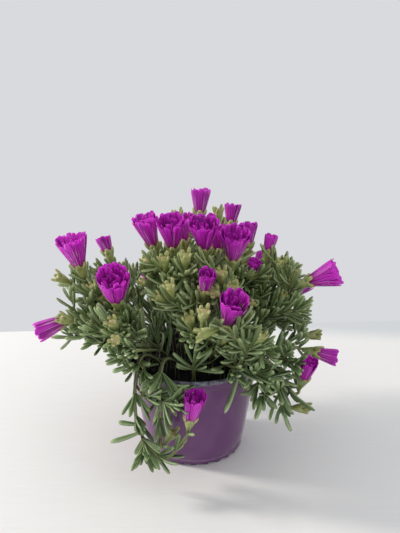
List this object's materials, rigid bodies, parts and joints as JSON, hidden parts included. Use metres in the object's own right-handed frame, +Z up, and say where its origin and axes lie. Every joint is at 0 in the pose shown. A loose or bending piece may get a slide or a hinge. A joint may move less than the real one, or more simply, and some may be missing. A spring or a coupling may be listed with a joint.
{
  "type": "potted rosy dewplant",
  "caption": "Round tapered plastic pot of peat with a bushy succulent: fleshy finger leaves on arching and trailing shoots, half-open magenta blooms with narrow petals.",
  "frame": {"origin": "centre of the pot's underside, on the surface that the pot stands on", "axes": "+Z up along the pot's axis, -Y towards the front of the plant, which the picture shows, +X to its right"},
  "size_m": [0.2611, 0.231, 0.2313],
  "materials": {
    "pot": "glossy purple injection-moulded polypropylene",
    "soil": "moist dark peat, crumbly and matt",
    "leaf": "fleshy grey-green leaves with a slight waxy sheen",
    "petal": "thin silky magenta petals"
  },
  "bodies": {
    "root": {"pot": "pot", "soil": "soil", "shoot_arched": "leaf", "shoot_back_left": "leaf", "shoot_back_middle": "leaf", "shoot_back_right": "leaf", "shoot_back_trailing": "leaf", "shoot_crown_back": "leaf", "shoot_crown_inner": "leaf", "shoot_crown_left": "leaf", "shoot_crown_mid": "leaf", "shoot_crown_outer": "leaf", "shoot_crown_right": "leaf", "shoot_crown_second": "leaf", "shoot_far_left": "leaf", "shoot_far_right_back": "leaf", "shoot_front": "leaf", "shoot_left_back": "leaf", "shoot_left_front": "leaf", "shoot_left_large": "leaf", "shoot_middle": "leaf", "shoot_right_back": "leaf", "shoot_right_front": "leaf", "shoot_right_large": "leaf", "shoot_right_low": "leaf", "shoot_right_small": "leaf", "shoot_rosette": "leaf", "shoot_top": "leaf", "shoot_top_right": "leaf", "shoot_trail_bloom": "leaf", "shoot_trail_leafy": "leaf", "bloom_back_left": "petal", "bloom_back_middle": "petal", "bloom_back_right": "petal", "bloom_back_trailing": "petal", "bloom_crown_back": "petal", "bloom_crown_back_side": "petal", "bloom_crown_inner": "petal", "bloom_crown_left": "petal", "bloom_crown_mid": "petal", "bloom_crown_outer": "petal", "bloom_crown_outer_side": "petal", "bloom_crown_right": "petal", "bloom_crown_second": "petal", "bloom_far_left": "petal", "bloom_far_right_back": "petal", "bloom_front": "petal", "bloom_left_back": "petal", "bloom_left_front": "petal", "bloom_left_large": "petal", "bloom_middle": "petal", "bloom_right_back": "petal", "bloom_right_back_side": "petal", "bloom_right_front": "petal", "bloom_right_large": "petal", "bloom_right_low": "petal", "bloom_right_small": "petal", "bloom_top": "petal", "bloom_top_right": "petal", "bloom_trail_bloom": "petal"}
  },
  "joints": []
}
